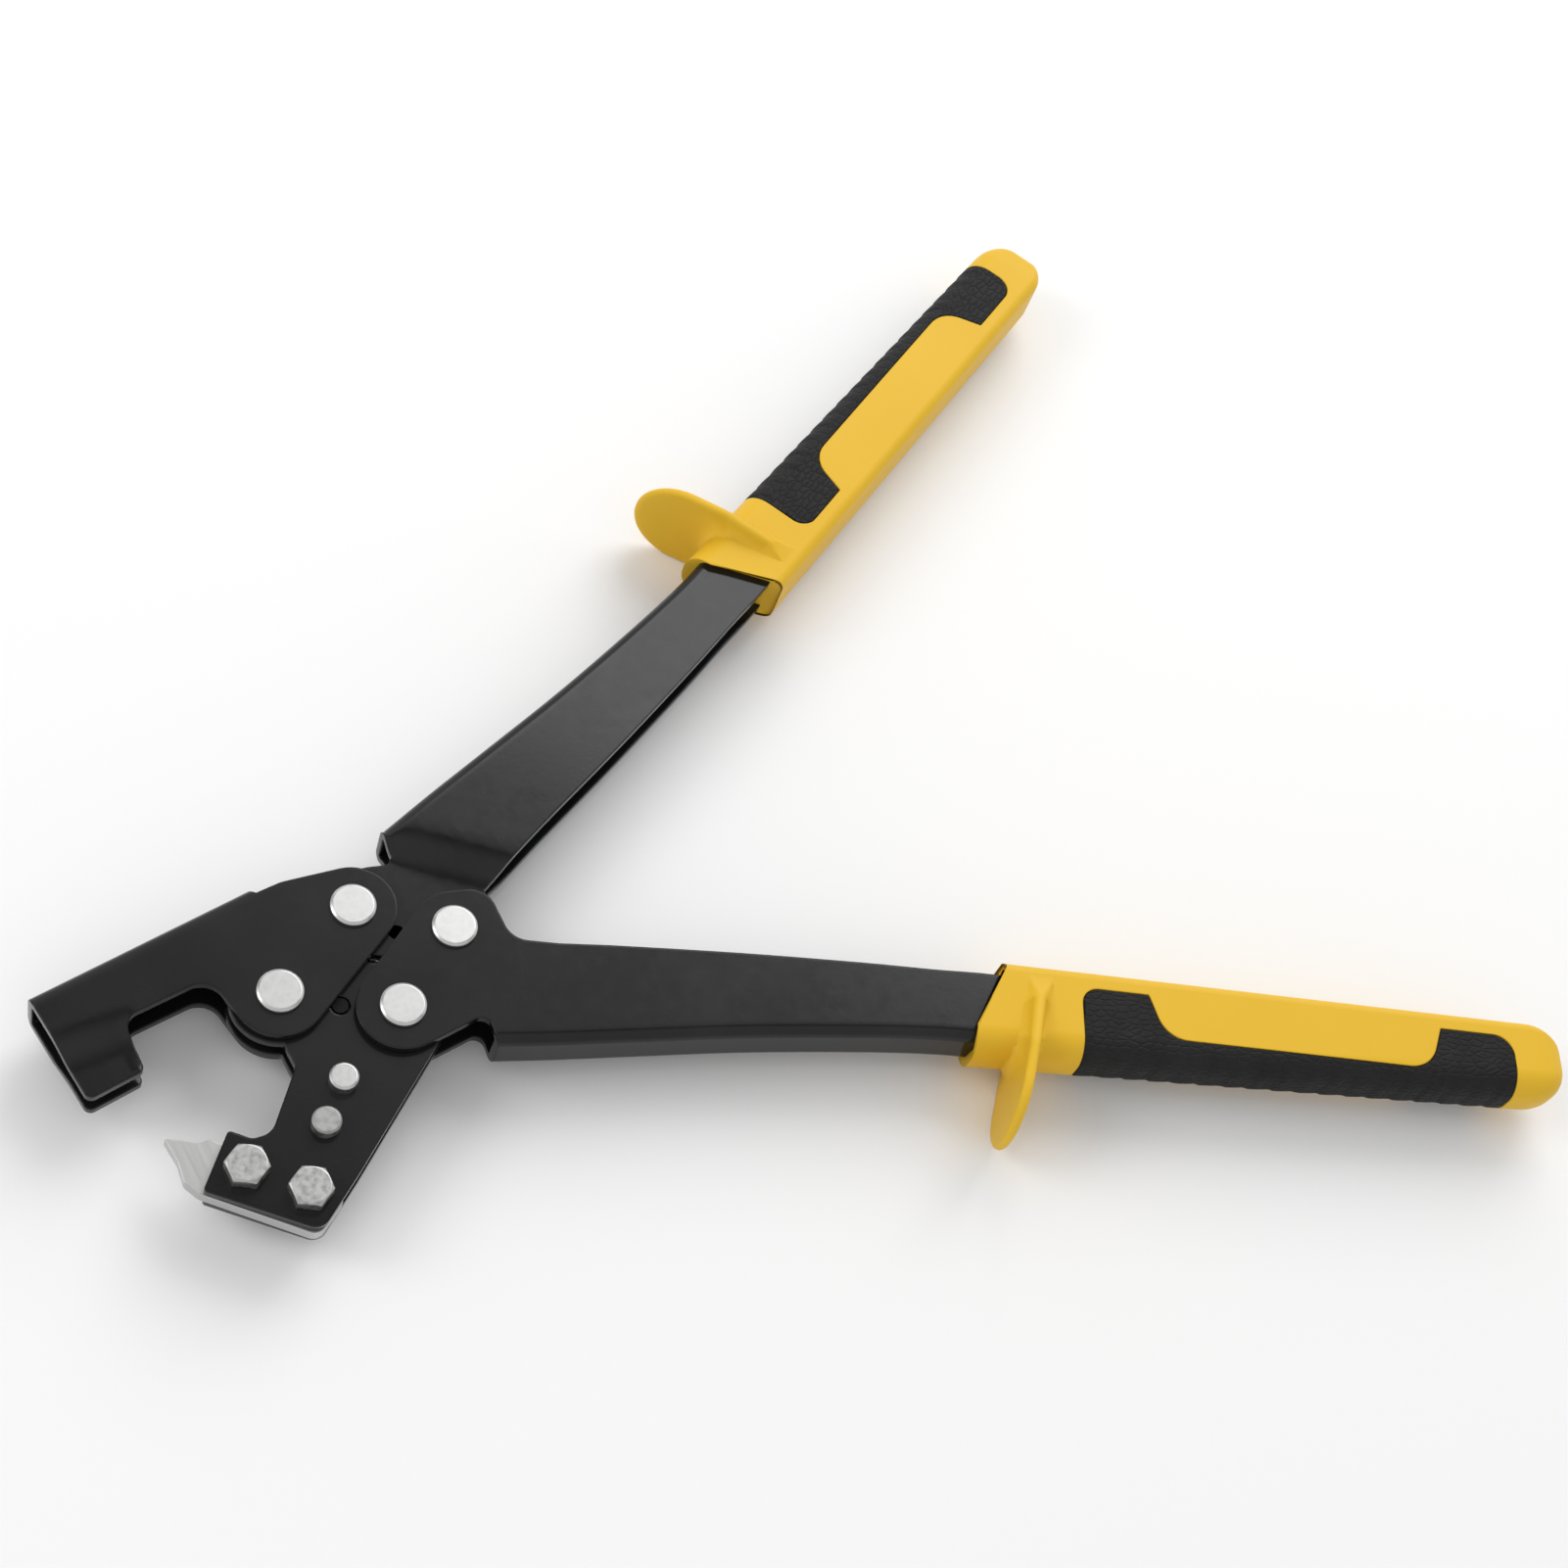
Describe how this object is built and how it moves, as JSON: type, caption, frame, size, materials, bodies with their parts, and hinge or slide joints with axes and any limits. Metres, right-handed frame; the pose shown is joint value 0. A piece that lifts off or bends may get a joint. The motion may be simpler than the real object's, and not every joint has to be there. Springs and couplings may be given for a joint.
{
  "type": "two-handed stud crimper",
  "caption": "Two-handed sheet-metal stud crimper with a folded anvil jaw, a bolted punch blade, compound lever pivots, channel arms and padded yellow grips with guards.",
  "frame": {"origin": "bottom centre of the bounding box, the tool lying flat with its handles open", "axes": "+X from the jaws towards the grips, +Y towards the handle that carries the fixed jaw's pivot, +Z out of the plane of the plates, on the side of the bolt heads"},
  "size_m": [0.3902, 0.327, 0.0296],
  "materials": {
    "black_paint": "gloss black paint on folded sheet steel",
    "zinc": "bright zinc plate",
    "blade_steel": "ground tool steel",
    "bush_steel": "plain turned steel",
    "yellow_grip": "satin yellow moulding",
    "black_rubber": "matt pebbled elastomer"
  },
  "bodies": {
    "fixed_jaw": {"fixed_jaw_shell": "black_paint", "rivet_fixed_upper": "zinc", "rivet_fixed_punch": "zinc"},
    "punch_jaw": {"punch_plate_top": "black_paint", "punch_plate_bottom": "black_paint", "punch_blade": "blade_steel", "blade_bolt_tip": "zinc", "blade_bolt_heel": "zinc", "blade_nut_tip": "zinc", "blade_nut_heel": "zinc", "spacer_pin_inner": "zinc", "spacer_pin_outer": "zinc", "spacer_sleeve_inner": "bush_steel", "spacer_sleeve_outer": "bush_steel", "bush_fixed_punch": "bush_steel", "spring_post_punch": "bush_steel", "return_spring": "zinc"},
    "upper_handle": {"upper_arm": "black_paint", "upper_grip": "yellow_grip", "upper_grip_pad": "black_rubber", "bush_fixed_upper": "bush_steel", "bush_handles": "bush_steel", "spring_post_upper": "bush_steel"},
    "lower_handle": {"lower_arm": "black_paint", "lower_grip": "yellow_grip", "lower_grip_pad": "black_rubber", "rivet_handles": "zinc", "rivet_lower_punch": "zinc", "bush_lower_punch": "bush_steel"}
  },
  "joints": [
    {"name": "handles_hinge", "type": "hinge", "parent": "upper_handle", "child": "lower_handle", "pos_m": [-0.08862, 0.00237, 0.0148], "axis": [0, 0, 1], "range_deg": [0, 47], "stiffness_Nm_per_rad": 0.4},
    {"name": "upper_handle_hinge", "type": "hinge", "parent": "fixed_jaw", "child": "upper_handle", "pos_m": [-0.11062, 0.01777, 0.0148], "axis": [0, 0, 1], "range_deg": [-42, 0.5]},
    {"name": "punch_hinge", "type": "hinge", "parent": "fixed_jaw", "child": "punch_jaw", "pos_m": [-0.13782, 0.00237, 0.0148], "axis": [0, 0, 1], "range_deg": [-36.5, 0.5], "deforming": ["return_spring"]}
  ],
  "couplings": [
    {"joint": "upper_handle_hinge", "follows": "handles_hinge", "ratio": -0.88},
    {"joint": "punch_hinge", "follows": "handles_hinge", "ratio": -0.76}
  ]
}
